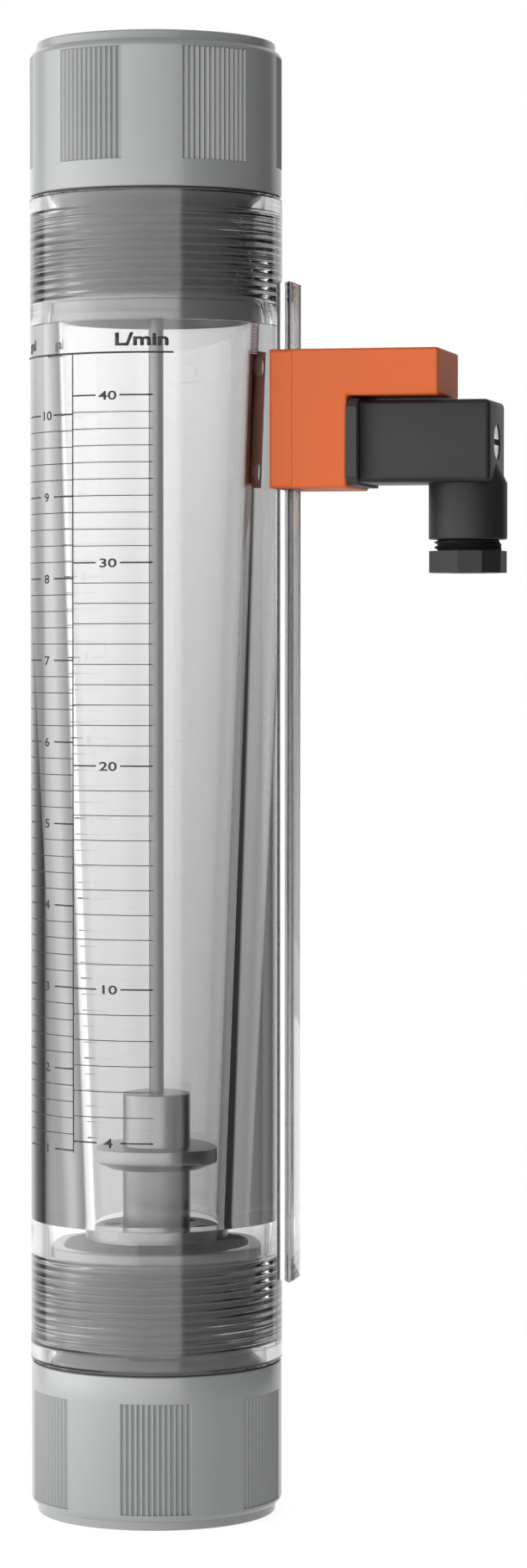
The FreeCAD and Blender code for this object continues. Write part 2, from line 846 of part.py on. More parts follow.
def clamp_screws():
    """Four screws from the clamp's inner face into the housing's bosses."""
    screws = []
    head_start = clamp_inner + size.clamp_screw_sink
    for name, y, z in clamp_screw_places():
        shaft = cylinder(f"{name}_shaft", size.clamp_screw_radius, size.clamp_screw_length,
                         head_start, y, z, towards_x=True)
        head = cylinder(f"{name}_head", size.clamp_screw_head_radius,
                        size.clamp_screw_head_height, head_start, y, z, towards_x=True)
        screws.append(fuse(f"{name}_screw", shaft, head))
    return group("clamp_screws", *screws)


def circuit_board():
    return box("circuit_board", size.board_thickness, board_half_width * 2, size.board_height,
               board_inner, ZERO, switch_middle - size.board_height / 2)


def reed_switch():
    """Glass capsule with a lead at each end, lying on the board."""
    half = size.reed_length / 2
    lead_end = half + size.reed_lead_length
    shoulder = size.reed_radius
    body = new_body("reed_switch")
    revolve(body, "reed_capsule", [
        (ZERO, switch_middle - lead_end),
        (size.reed_lead_radius, switch_middle - lead_end),
        (size.reed_lead_radius, switch_middle - half),
        (size.reed_radius, switch_middle - half + shoulder),
        (size.reed_radius, switch_middle + half - shoulder),
        (size.reed_lead_radius, switch_middle + half),
        (size.reed_lead_radius, switch_middle + lead_end),
        (ZERO, switch_middle + lead_end),
    ])
    return place(body, x=board_inner - size.reed_radius)


# Plug connector: contact blades, gasket, housing with the gland's stub, insert and screw.

def blade_places():
    """The four contact blades as (name, y, z, thickness across Y, thickness up Z)."""
    out, wide, thin = size.blade_offset, size.blade_width, size.blade_thickness
    return [
        ("near_blade", -side_blade, connector_middle, thin, wide),
        ("far_blade", side_blade, connector_middle, thin, wide),
        ("low_blade", ZERO, connector_middle - out, wide, thin),
        ("earth_blade", ZERO, connector_middle + out, wide, thin),
    ]


def draw_blade_slots(sketch):
    for _, y, z, across, up in blade_places():
        half_across = across / 2 + size.blade_clearance
        half_up = up / 2 + size.blade_clearance
        draw_box(sketch, y - half_across, z - half_up, y + half_across, z + half_up)


def contact_blades():
    reach = gasket_outer + size.blade_reach - board_outer
    return group("contact_blades", *(
        box(name, reach, across, up, board_outer, y, z - up / 2)
        for name, y, z, across, up in blade_places()))


def connector_gasket():
    """Flat seal with bevelled corners and a window for the contacts."""
    half = size.gasket_width / 2
    top = gasket_base + size.gasket_height
    corner = size.gasket_corner
    body = new_body("connector_gasket")
    face = sketch_on(body, "YZ_Plane", "gasket_face", housing_outer)
    draw_outline(face, [
        (-half + corner, gasket_base), (half - corner, gasket_base),
        (half, gasket_base + corner), (half, top - corner),
        (half - corner, top), (-half + corner, top),
        (-half, top - corner), (-half, gasket_base + corner),
    ])
    draw_connector_opening(face, ZERO)
    extrude(body, face, size.gasket_thickness)
    return body


def draw_connector_opening(sketch, inset):
    """The connector's inner outline, a stated distance inside its walls."""
    half = size.connector_width / 2 - size.connector_wall - inset
    draw_box(sketch, -half, connector_base + size.connector_wall + inset,
             half, connector_top - size.connector_wall - inset)


def connector_housing():
    """Hollow angled plug body with the threaded stub of the cable gland."""
    half_width = size.connector_width / 2
    body = new_body("connector_housing")
    face = sketch_on(body, "YZ_Plane", "connector_face", gasket_outer)
    draw_box(face, -half_width, connector_base, half_width, connector_top)
    block = extrude(body, face, size.connector_length)
    round_edges(body, "connector_rounding", block, size.connector_edge_radius,
                lambda way, middle: not near(middle.x, gasket_outer))
    revolve(body, "gland_stub", [
        (ZERO, gland_thread_end),
        (size.gland_thread_radius, gland_thread_end),
        (size.gland_thread_radius, stub_end),
        (size.stub_radius, stub_end),
        (size.stub_radius, connector_base),
        (size.stub_cone_radius, connector_base + size.stub_cone_height),
        (ZERO, connector_base + size.stub_cone_height),
    ], axis_x=gland_x)
    insert_pocket = sketch_on(body, "YZ_Plane", "insert_pocket", gasket_outer)
    draw_connector_opening(insert_pocket, ZERO)
    extrude(body, insert_pocket, size.insert_length, cut=True)
    chamber = sketch_on(body, "YZ_Plane", "terminal_chamber", insert_end)
    draw_connector_opening(chamber, size.insert_ledge)
    chamber_length = size.connector_length - size.insert_length - size.connector_end_wall
    extrude(body, chamber, chamber_length, cut=True)
    throat_top = connector_base + size.connector_wall + size.insert_ledge * 2
    revolve(body, "gland_bore", [
        (ZERO, gland_thread_end),
        (size.gland_bore_radius, gland_thread_end),
        (size.gland_bore_radius, seal_seat),
        (size.gland_throat_radius, seal_seat),
        (size.gland_throat_radius, throat_top),
        (ZERO, throat_top),
    ], axis_x=gland_x, cut=True)
    hole_start = connector_outer - size.connector_end_wall
    shaft_hole = sketch_on(body, "YZ_Plane", "plug_screw_hole", hole_start)
    draw_circle(shaft_hole, ZERO, connector_middle, size.plug_screw_radius + size.screw_clearance)
    extrude(body, shaft_hole, size.connector_end_wall, cut=True)
    sunk = size.plug_screw_recess + size.plug_screw_head_height
    counterbore = sketch_on(body, "YZ_Plane", "plug_screw_counterbore", connector_outer - sunk)
    draw_circle(counterbore, ZERO, connector_middle,
                size.plug_screw_head_radius + size.screw_clearance)
    extrude(body, counterbore, sunk, cut=True)
    return body


def terminal_insert():
    """Block that holds the contacts inside the connector."""
    body = new_body("terminal_insert")
    face = sketch_on(body, "YZ_Plane", "insert_face", gasket_outer)
    draw_connector_opening(face, size.insert_clearance)
    draw_blade_slots(face)
    draw_circle(face, ZERO, connector_middle, size.plug_screw_radius + size.screw_clearance)
    extrude(body, face, size.insert_length)
    return body


def connector_screw():
    """Long screw through the connector into the switch housing, with a crossed slot."""
    start = housing_outer - size.plug_screw_bite
    head_face = connector_outer - size.plug_screw_recess
    head_start = head_face - size.plug_screw_head_height
    shaft = cylinder("plug_screw_shaft", size.plug_screw_radius, head_face - start,
                     start, ZERO, connector_middle, towards_x=True)
    head = cylinder("plug_screw_head", size.plug_screw_head_radius, size.plug_screw_head_height,
                    head_start, ZERO, connector_middle, towards_x=True)
    across = size.plug_screw_head_radius * 2
    depth = size.plug_screw_slot_depth
    slot = box("plug_screw_slot", depth, across, size.plug_screw_slot_width,
               head_face - depth, ZERO, connector_middle - size.plug_screw_slot_width / 2)
    cross = box("plug_screw_cross", depth, size.plug_screw_cross_width, across,
                head_face - depth, ZERO, connector_middle - across / 2)
    blank = fuse("plug_screw_blank", shaft, head)
    return cut("connector_screw", blank, fuse("plug_screw_slots", slot, cross))


# Cable gland: the rubber seal sits in the stub; the slip washer rides up on the nut's collar.

def gland_seal():
    base = seal_seat - size.gland_seal_height
    body = new_body("gland_seal")
    revolve(body, "seal_ring", [
        (size.cable_radius, base),
        (size.gland_bore_radius, base),
        (size.gland_bore_radius, seal_seat),
        (size.cable_radius, seal_seat),
    ])
    return place(body, x=gland_x)


def gland_washer():
    top = nut_collar_top + size.washer_thickness
    body = new_body("gland_washer")
    revolve(body, "washer_ring", [
        (size.washer_hole_radius, nut_collar_top),
        (size.washer_radius, nut_collar_top),
        (size.washer_radius, top),
        (size.washer_hole_radius, top),
    ])
    return place(body, x=gland_x)


def gland_nut():
    """Many-sided nut with an inner collar that pushes the washer."""
    floor_top = nut_base + size.nut_floor
    bore_radius = size.gland_thread_radius + size.nut_thread_clearance
    blank = prism("nut_blank", size.nut_sides, size.nut_radius, size.nut_height, gland_x, nut_base)
    bind(blank, ".Placement.Rotation.Angle", size.nut_turn_angle, " * 1 deg")
    bore = cylinder("nut_bore", bore_radius, size.nut_height, gland_x, ZERO, floor_top)
    collar = cylinder("nut_collar", size.nut_collar_radius, size.nut_collar_height,
                      gland_x, ZERO, floor_top)
    mouth = cylinder("nut_mouth", size.nut_mouth_radius, size.nut_height * 2,
                     gland_x, ZERO, nut_base - size.nut_floor)
    shell = cut("nut_shell", blank, bore)
    return cut("gland_nut", fuse("nut_with_collar", shell, collar), mouth)


def write_parts(parts):
    """Check every object of the document, then write each sub-part to its own file."""
    doc.recompute()
    for thing in doc.Objects:
        if "Invalid" in thing.State or "Error" in thing.State:
            raise RuntimeError(f"{thing.Label} failed: {thing.State}")
    os.makedirs("parts", exist_ok=True)
    for part in parts:
        if part.Shape.isNull() or not part.Shape.isValid():
            raise RuntimeError(f"{part.Label} has no valid shape")
        part.Shape.exportStep(f"parts/{part.Label}.step")
        box_size = part.Shape.BoundBox
        print(f"{part.Label:20} {len(part.Shape.Solids)} solid(s) {part.Shape.Volume:10.1f} mm3"
              f"  z {box_size.ZMin:6.1f} to {box_size.ZMax:6.1f}")


write_parts([
    measuring_tube(),
    end_fitting("lower_fitting", lower_nose_end, size.lower_grip_angle),
    upper_fitting(),
    flat_seal("lower_seal", size.head_height),
    flat_seal("upper_seal", tube_top),
    guide_rod(),
    lower_rod_holder(),
    upper_rod_holder(),
    rod_nut("lower_rod_nut", lower_arm_base - size.rod_nut_height),
    rod_nut("upper_rod_nut", upper_arm_top),
    float_body(),
    float_end_plug(),
    float_magnet(),
    switch_clamp(),
    switch_housing(),
    clamp_screws(),
    circuit_board(),
    reed_switch(),
    contact_blades(),
    connector_gasket(),
    connector_housing(),
    terminal_insert(),
    connector_screw(),
    gland_seal(),
    gland_washer(),
    gland_nut(),
])
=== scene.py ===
import math

import bmesh
import bpy
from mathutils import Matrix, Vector


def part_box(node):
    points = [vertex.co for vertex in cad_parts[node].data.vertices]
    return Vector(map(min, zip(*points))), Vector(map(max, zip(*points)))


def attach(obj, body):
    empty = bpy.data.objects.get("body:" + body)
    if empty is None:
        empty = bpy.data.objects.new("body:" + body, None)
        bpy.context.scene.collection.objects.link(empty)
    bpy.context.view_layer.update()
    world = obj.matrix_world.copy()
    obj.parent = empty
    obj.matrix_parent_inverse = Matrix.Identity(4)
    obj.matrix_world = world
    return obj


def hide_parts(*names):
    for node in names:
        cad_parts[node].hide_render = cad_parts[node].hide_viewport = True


# Rotameter: a clear flow tube with grey screwed ends, a steel float on a rod, a printed scale and
# an orange limit switch with a black plug on the tube's rail.
#
# Shapes are written in millimetres and become metres in bare_mesh. Angles round the tube are in
# degrees from +X, anticlockwise from above. The frame gives the places. Detail sizes are named
# here.

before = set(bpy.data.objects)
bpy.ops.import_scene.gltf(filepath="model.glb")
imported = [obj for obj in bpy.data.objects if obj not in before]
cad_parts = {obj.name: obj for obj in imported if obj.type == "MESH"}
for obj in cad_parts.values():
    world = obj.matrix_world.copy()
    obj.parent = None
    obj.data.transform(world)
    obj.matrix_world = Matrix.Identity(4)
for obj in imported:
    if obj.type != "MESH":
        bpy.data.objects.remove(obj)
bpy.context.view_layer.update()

MM = 0.001


def low_high(node):
    """A CAD node's corners in millimetres."""
    low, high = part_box(node)
    return low / MM, high / MM


TUBE_LOW, TUBE_HIGH = low_high("measuring_tube")
LOWER_HIGH = low_high("lower_fitting")[1]
UPPER_LOW, UPPER_HIGH = low_high("upper_fitting")
ROD_LOW, ROD_HIGH = low_high("guide_rod")
HOLDER_HIGH = low_high("lower_rod_holder")[1]
STOP_LOW = low_high("upper_rod_holder")[0]
FLOAT_LOW, FLOAT_HIGH = low_high("float_body")
CLAMP_HIGH = low_high("switch_clamp")[1]
HOUSING_LOW, HOUSING_HIGH = low_high("switch_housing")
GASKET_LOW = low_high("connector_gasket")[0]
PLUG_LOW, PLUG_HIGH = low_high("connector_housing")
SCREW_LOW, SCREW_HIGH = low_high("connector_screw")
SEAL_HIGH = low_high("gland_seal")[1]

# Tube
TUBE_RADIUS = TUBE_HIGH.y
TUBE_BASE = TUBE_LOW.z
TUBE_TOP = TUBE_HIGH.z
UPPER_SHOULDER = UPPER_LOW.z
SHOULDER_ABOVE_HOLDER = 1.5
LOWER_SHOULDER = HOLDER_HIGH.z + SHOULDER_ABOVE_HOLDER
BORE_LOWER_RADIUS = 14.9
BORE_UPPER_RADIUS = 22.6
SOCKET_RADIUS = 25.9
SOCKET_THREAD_DEPTH = 0.5
SOCKET_THREAD_RUNOUT = 1.0
SOCKET_PLAIN_LENGTH = 2.0
END_CHAMFER = 0.4
WALL_SIDES = 280
FOOT_SIDES = 8

# Rail
RAIL_BASE = 56.0
RAIL_TOP = 291.4
RAIL_FACE = TUBE_HIGH.x
RAIL_NECK_HALF = 2.2
RAIL_NECK_END = 31.7
RAIL_FLARE_END = 33.5
RAIL_HALF_WIDTH = 6.25
TOOTH_PITCH = 0.39
TOOTH_DEPTH = 0.34

# End fittings
OVERALL_HEIGHT = UPPER_HIGH.z
HEAD_RADIUS = LOWER_HIGH.y
HEAD_HEIGHT = 36.1
LIP_RADIUS = 28.3
LIP_HEIGHT = 2.2
NECK_RADIUS = 22.6
THREAD_PITCH = 1.98
THREAD_START = 40.9
THREAD_LENGTH = 19.8
THREAD_CREST = 25.6
THREAD_ROOT = 24.45
NOSE_RADIUS = 25.2
PORT_RADIUS = 16.75
PORT_DEPTH = 24.0
PASSAGE_RADIUS = 13.5
CHAMBER_RADIUS = 22.0
CHAMBER_DEPTH = 11.0
GRIP_START = 2.4
GRIP_END = 29.8
GRIP_DEPTH = 0.55
GRIP_PANELS = 6
GRIP_GROOVES = 13
GRIP_PITCH = 2.5
LOWER_GRIP_ANGLE = 43.5
UPPER_GRIP_ANGLE = -48.0

# Switch housing
ARM_HEIGHT = 10.9
HOUSING_WALL = 2.0
SWITCH_EDGE_RADIUS = 0.6
SEAM_EDGE = 0.2

# Plug connector and its cable gland
CONNECTOR_LENGTH = 30.7
CONNECTOR_WIDTH = 21.4
CONNECTOR_HEIGHT = 19.2
CONNECTOR_BASE = PLUG_HIGH.z - CONNECTOR_HEIGHT
CONNECTOR_WALL = 2.0
CONNECTOR_END_WALL = 5.0
CONNECTOR_EDGE_RADIUS = 1.2
SCREW_GAP = 0.05
SCREW_HOLE_DEPTH = 2.5
GLAND_X = 75.1
STUB_RADIUS = 9.2
STUB_END = 230.9
STUB_CHAMFER = 0.25
STUB_CONE_HEIGHT = 10.0
STUB_CONE_RADIUS = 4.4
GLAND_CREST = 7.96
GLAND_ROOT = 7.06
GLAND_PITCH = 1.2
GLAND_BORE_RADIUS = 6.2
GLAND_THROAT_RADIUS = 4.2

# Rod and float
ROD_END_RADIUS = 1.5
ROD_RADIUS = 1.75
FLOAT_BORE_RADIUS = 2.0
FLOAT_STEM_RADIUS = 8.05
FLOAT_FLARE_RADIUS = 10.9
FLOAT_RIM_RADIUS = 14.5
FLOAT_FLARE_HEIGHT = 13.95
FLOAT_RIM_START = 15.8
FLOAT_RIM_END = 19.1

# Printed scale. The camera-side direction of the tube is CAMERA_SIDE; print angles are measured
# from it, positive to the right.
CAMERA_SIDE = -77.5
PRINT_CENTRE = -38.8
PRINT_LIFT = 0.02
PRINT_THICKNESS = 0.02


# Mesh helpers

def bare_mesh(name, points, faces):
    """A mesh from points in millimetres."""
    mesh = bpy.data.meshes.new(name)
    mesh.from_pydata([(x * MM, y * MM, z * MM) for x, y, z in points], [], faces)
    return mesh


def linked(name, data):
    """An object in the scene that carries a mesh, curve, lamp or camera."""
    item = bpy.data.objects.new(name, data)
    bpy.context.scene.collection.objects.link(item)
    return item


def smooth(mesh, sharp):
    """Smooth shading that breaks at edges sharper than an angle in degrees."""
    mesh.shade_smooth()
    mesh.set_sharp_from_angle(angle=math.radians(sharp))


def make_piece(name, points, faces, body, material, nodes=(), sharp=32.0, merge=True):
    """A smooth-shaded mesh piece on a body, from points in millimetres."""
    mesh = bare_mesh(name, points, faces)
    form = bmesh.new()
    form.from_mesh(mesh)
    if merge:
        bmesh.ops.remove_doubles(form, verts=form.verts, dist=1e-7)
        bmesh.ops.dissolve_degenerate(form, edges=form.edges, dist=1e-7)
    bmesh.ops.recalc_face_normals(form, faces=form.faces)
    form.to_mesh(mesh)
    form.free()
    smooth(mesh, sharp)
    mesh.materials.append(material)
    piece = linked(name, mesh)
    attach(piece, body)
    if nodes:
        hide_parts(*nodes)
    return piece


def steps(first, last, count):
    """count + 1 evenly spaced numbers from first to last."""
    return [first + (last - first) * index / count for index in range(count + 1)]


def round_angles(count):
    return steps(0.0, 360.0, count)[:-1]


def soften(profile, radius=0.3, arc_steps=3):
    """Round the corners of a closed (radius, height) profile. A third value sets one corner's."""
    softened = []
    for index, point in enumerate(profile):
        corner = Vector(point[:2])
        before = Vector(profile[index - 1][:2])
        after = Vector(profile[(index + 1) % len(profile)][:2])
        reach = point[2] if len(point) > 2 else radius
        reach = min(reach, (before - corner).length * 0.45, (after - corner).length * 0.45)
        if reach < 0.01:
            softened.append(tuple(corner))
            continue
        start = corner + (before - corner).normalized() * reach
        end = corner + (after - corner).normalized() * reach
        for part in steps(0.0, 1.0, arc_steps):
            bend = start * (1 - part) ** 2 + corner * 2 * part * (1 - part) + end * part ** 2
            softened.append(tuple(bend))
    return softened


def lathe(rows, angles, centre=(0.0, 0.0), closed=True):
    """Points and faces of a ring mesh. A row is (radius, height), each a number or a function
    of the angle; rows run round the closed profile."""
    middle_x, middle_y = centre
    points, faces = [], []
    for radius, height in rows:
        for angle in angles:
            reach = radius(angle) if callable(radius) else radius
            level = height(angle) if callable(height) else height
            turn = math.radians(angle)
            points.append((middle_x + reach * math.cos(turn), middle_y + reach * math.sin(turn),
                           level))
    count = len(angles)
    bands = len(rows) if closed else len(rows) - 1
    for band in range(bands):
        following = (band + 1) % len(rows)
        for index in range(count):
            beside = (index + 1) % count
            faces.append((band * count + index, band * count + beside,
                          following * count + beside, following * count + index))
    return points, faces


def thread_rows(crest, root, start, length, pitch, per_turn=8):
    """Rows of a right-handed V thread that follow its helix and stop flat at both ends."""
    end = start + length

    def level(row):
        def at(angle):
            free = start + pitch * (row / per_turn + angle / 360.0 - 1.0)
            return min(max(free, start), end)
        return at

    def reach(row):
        def at(angle):
            height = level(row)(angle)
            turns = (height - start) / pitch - angle / 360.0
            wave = abs((turns % 1.0) * 2.0 - 1.0)
            profile = min(max(wave * 1.3 - 0.15, 0.0), 1.0)
            runout = min(1.0, (height - start) / pitch, (end - height) / pitch)
            return root + (crest - root) * profile * min(1.0, runout * 2.0 + 0.05)
        return at

    count = int(round((length / pitch + 1) * per_turn))
    return [(reach(row), level(row)) for row in range(count + 1)]


# Materials

CLEAR_IOR = 1.48
CLEAR_ABSORPTION = 34.0


def new_material(name):
    material = bpy.data.materials.new(name)
    material.use_nodes = True
    nodes = material.node_tree.nodes
    return material, nodes, material.node_tree.links, nodes["Principled BSDF"]


def set_inputs(shader, **values):
    """Set inputs by name, with underscores for spaces."""
    for key, value in values.items():
        name = key.replace("_", " ")
        shader.inputs[name].default_value = (*value, 1.0) if isinstance(value, tuple) else value


def object_noise(nodes, links, scale, stretch=(1, 1, 1), detail=3.0):
    """Noise in object space, stretched along an axis where a finish has a direction."""
    where = nodes.new("ShaderNodeTexCoord")
    mapping = nodes.new("ShaderNodeMapping")
    mapping.inputs["Scale"].default_value = stretch
    noise = nodes.new("ShaderNodeTexNoise")
    noise.inputs["Scale"].default_value = scale
    noise.inputs["Detail"].default_value = detail
    links.new(where.outputs["Object"], mapping.inputs["Vector"])
    links.new(mapping.outputs["Vector"], noise.inputs["Vector"])
    return noise.outputs["Fac"]


def ramp(nodes, links, source, low, high, socket):
    """Send a 0 to 1 source to a socket as a blend between two numbers or colours."""
    if isinstance(low, tuple):
        blend = nodes.new("ShaderNodeMix")
        blend.data_type = "RGBA"
        blend.inputs["A"].default_value = (*low, 1.0)
        blend.inputs["B"].default_value = (*high, 1.0)
        links.new(source, blend.inputs["Factor"])
        links.new(blend.outputs["Result"], socket)
        return
    span = nodes.new("ShaderNodeMapRange")
    span.inputs["To Min"].default_value = low
    span.inputs["To Max"].default_value = high
    links.new(source, span.inputs["Value"])
    links.new(span.outputs["Result"], socket)


def add_bump(nodes, links, shader, source, strength, distance):
    bump = nodes.new("ShaderNodeBump")
    bump.inputs["Strength"].default_value = strength
    bump.inputs["Distance"].default_value = distance
    links.new(source, bump.inputs["Height"])
    links.new(bump.outputs["Normal"], shader.inputs["Normal"])


def moulded(name, dark, light, rough_low, rough_high, grain=1500.0, bump=0.08, specular=0.5):
    """Moulded plastic: faint mottling, a fine surface grain and uneven gloss."""
    material, nodes, links, shader = new_material(name)
    set_inputs(shader, Specular_IOR_Level=specular)
    ramp(nodes, links, object_noise(nodes, links, 90.0), dark, light, shader.inputs["Base Color"])
    fine = object_noise(nodes, links, grain, detail=2.0)
    ramp(nodes, links, fine, rough_low, rough_high, shader.inputs["Roughness"])
    add_bump(nodes, links, shader, fine, bump, 0.00004)
    return material


def turned_steel(name, dark, light, rough_low, rough_high):
    """Machined steel: fine turning lines round the axis, so noise is squeezed along Z."""
    material, nodes, links, shader = new_material(name)
    set_inputs(shader, Metallic=1.0)
    lines = object_noise(nodes, links, 400.0, stretch=(0.15, 0.15, 9.0), detail=4.0)
    ramp(nodes, links, lines, dark, light, shader.inputs["Base Color"])
    ramp(nodes, links, lines, rough_low, rough_high, shader.inputs["Roughness"])
    add_bump(nodes, links, shader, lines, 0.06, 0.00003)
    return material


def clear_plastic(name):
    """Clear moulded plastic, faintly grey in depth, with the waves that moulding leaves."""
    material, nodes, links, shader = new_material(name)
    set_inputs(shader, Base_Color=(0.985, 0.988, 0.988), Transmission_Weight=1.0, Roughness=0.0,
               IOR=CLEAR_IOR)
    waves = object_noise(nodes, links, 28.0, stretch=(1, 1, 0.12), detail=1.0)
    add_bump(nodes, links, shader, waves, 0.02, 0.0001)
    tint = nodes.new("ShaderNodeVolumeAbsorption")
    tint.inputs["Color"].default_value = (0.0, 0.0, 0.0, 1.0)
    tint.inputs["Density"].default_value = CLEAR_ABSORPTION
    links.new(tint.outputs["Volume"], nodes["Material Output"].inputs["Volume"])
    return material


GREY = moulded("grey_fitting", (0.195, 0.2, 0.2), (0.215, 0.22, 0.22), 0.2, 0.26, 1500.0, 0.03)
ORANGE = moulded("orange_plastic", (0.41, 0.066, 0.004), (0.43, 0.072, 0.005), 0.6, 0.66)
BLACK = moulded("black_plastic", (0.004, 0.004, 0.0045), (0.006, 0.006, 0.0065), 0.5, 0.58,
                2200.0, 0.1, specular=0.42)
RUBBER = moulded("black_rubber", (0.014, 0.014, 0.014), (0.02, 0.02, 0.02), 0.6, 0.75, 1800.0, 0.2)
BOARD = moulded("board", (0.02, 0.12, 0.05), (0.03, 0.15, 0.06), 0.35, 0.45)
MAGNET = moulded("magnet", (0.05, 0.05, 0.05), (0.09, 0.09, 0.09), 0.5, 0.6)
INK = moulded("scale_ink", (0.008, 0.008, 0.009), (0.012, 0.012, 0.013), 0.5, 0.6, 3000.0, 0.05)
STEEL = turned_steel("stainless_steel", (0.14, 0.14, 0.14), (0.165, 0.165, 0.163), 0.26, 0.32)
FLOAT_STEEL = turned_steel("float_steel", (0.3, 0.3, 0.3), (0.33, 0.33, 0.328), 0.26, 0.32)
SCREW_STEEL = turned_steel("screw_steel", (0.72, 0.72, 0.71), (0.8, 0.8, 0.79), 0.3, 0.38)
BRASS = turned_steel("brass_contacts", (0.75, 0.55, 0.25), (0.8, 0.6, 0.3), 0.25, 0.35)
CLEAR = clear_plastic("clear_tube")


# Tube

def rail_outline(face):
    """Half of the dovetail's outline from the tube out to its face, at +Y."""
    foot = math.sqrt(TUBE_RADIUS ** 2 - RAIL_NECK_HALF ** 2)
    return [(foot, RAIL_NECK_HALF), (RAIL_NECK_END, RAIL_NECK_HALF),
            (RAIL_FLARE_END, RAIL_HALF_WIDTH), (face, RAIL_HALF_WIDTH)]


def tube_piece():
    """Tube wall, threaded sockets, tapered bore and the toothed rail as one closed skin."""
    foot_angle = math.degrees(math.asin(RAIL_NECK_HALF / TUBE_RADIUS))
    wall_angles = steps(foot_angle, 360.0 - foot_angle, WALL_SIDES)
    foot_angles = steps(360.0 - foot_angle, 360.0 + foot_angle, FOOT_SIDES)[1:-1]
    angles = wall_angles + foot_angles
    chamfered = TUBE_RADIUS - END_CHAMFER
    lower_start = THREAD_START - SOCKET_THREAD_RUNOUT
    upper_start = OVERALL_HEIGHT - THREAD_START - THREAD_LENGTH - SOCKET_THREAD_RUNOUT
    lower_thread, upper_thread = [
        thread_rows(SOCKET_RADIUS, SOCKET_RADIUS - SOCKET_THREAD_DEPTH, start,
                    THREAD_LENGTH + 2 * SOCKET_THREAD_RUNOUT, THREAD_PITCH)
        for start in (lower_start, upper_start)]
    outside = [(SOCKET_RADIUS + END_CHAMFER, TUBE_BASE), (chamfered, TUBE_BASE),
               (TUBE_RADIUS, TUBE_BASE + END_CHAMFER), (TUBE_RADIUS, RAIL_BASE),
               (TUBE_RADIUS, RAIL_TOP), (TUBE_RADIUS, TUBE_TOP - END_CHAMFER),
               (chamfered, TUBE_TOP), (SOCKET_RADIUS + END_CHAMFER, TUBE_TOP)]
    upper = [(SOCKET_RADIUS, TUBE_TOP - END_CHAMFER), *reversed(upper_thread),
             (SOCKET_RADIUS, UPPER_SHOULDER + SOCKET_PLAIN_LENGTH), (SOCKET_RADIUS, UPPER_SHOULDER)]
    lower = [(BORE_UPPER_RADIUS, UPPER_SHOULDER), (BORE_LOWER_RADIUS, LOWER_SHOULDER),
             (SOCKET_RADIUS, LOWER_SHOULDER),
             (SOCKET_RADIUS, LOWER_SHOULDER - SOCKET_PLAIN_LENGTH),
             *reversed(lower_thread), (SOCKET_RADIUS, TUBE_BASE + END_CHAMFER)]
    points, faces = lathe(outside + upper + lower, angles)
    rail_band = outside.index((TUBE_RADIUS, RAIL_BASE))
    count = len(angles)
    first_foot = len(wall_angles) - 1
    opened = {rail_band * count + index for index in range(first_foot, count)}
    faces = [face for face in faces if face[0] not in opened]

    def ring_point(row, index):
        return points[(rail_band + row) * count + index % count]

    def add(polygon):
        start = len(points)
        points.extend(polygon)
        faces.append(tuple(range(start, start + len(polygon))))

    crests = int((RAIL_TOP - RAIL_BASE) / TOOTH_PITCH)
    half_teeth = [(RAIL_FACE - (TOOTH_DEPTH if index % 2 else 0.0),
                   RAIL_BASE + (RAIL_TOP - RAIL_BASE) * index / (2 * crests))
                  for index in range(2 * crests + 1)]
    for side in (1, -1):
        foot, neck, flare, _ = [(x, y * side) for x, y in rail_outline(RAIL_FACE)]
        add([(*foot, RAIL_BASE), (*neck, RAIL_BASE), (*neck, RAIL_TOP), (*foot, RAIL_TOP)])
        add([(*neck, RAIL_BASE), (*flare, RAIL_BASE), (*flare, RAIL_TOP), (*neck, RAIL_TOP)])
        toothed = [(x, RAIL_HALF_WIDTH * side, z) for x, z in half_teeth]
        add([(*flare, RAIL_TOP), (*flare, RAIL_BASE), *toothed])
    for (low_x, low_z), (high_x, high_z) in zip(half_teeth, half_teeth[1:]):
        add([(low_x, RAIL_HALF_WIDTH, low_z), (low_x, -RAIL_HALF_WIDTH, low_z),
             (high_x, -RAIL_HALF_WIDTH, high_z), (high_x, RAIL_HALF_WIDTH, high_z)])
    for row, level in ((0, RAIL_BASE), (1, RAIL_TOP)):
        foot_line = [ring_point(row, index) for index in range(first_foot, count + 1)]
        far = [(x, y, level) for x, y in rail_outline(RAIL_FACE)]
        near = [(x, -y, level) for x, y in reversed(rail_outline(RAIL_FACE))]
        add(foot_line[1:-1] + far + near)
    return make_piece("measuring_tube_clear", points, faces, "meter", CLEAR,
                      ["measuring_tube"], sharp=25.0)


# End fittings

def grip_reach(centre_angle):
    """How far the gripping flutes cut in, from 0 to 1, by angle round the head."""
    half = GRIP_PITCH * GRIP_GROOVES / 2.0
    share = 360.0 / GRIP_PANELS

    def cut(angle):
        off = (angle - centre_angle + share / 2) % share - share / 2
        if abs(off) >= half - 1e-6:
            return 0.0
        across = ((off + half) / GRIP_PITCH) % 1.0
        return 1.0 - (across * 2.0 - 1.0) ** 2
    return cut


def grip_angles(centre_angle, flute_steps=6, plain_steps=11):
    """Angles round a head, close together in the gripping panels and wider between them."""
    angles = []
    half = GRIP_PITCH * GRIP_GROOVES / 2.0
    for panel in range(GRIP_PANELS):
        middle = centre_angle + panel * 360.0 / GRIP_PANELS
        angles += steps(middle - half, middle + half, GRIP_GROOVES * flute_steps)[:-1]
        gap_end = middle + 360.0 / GRIP_PANELS - half
        angles += steps(middle + half, gap_end, plain_steps)[:-1]
    return angles


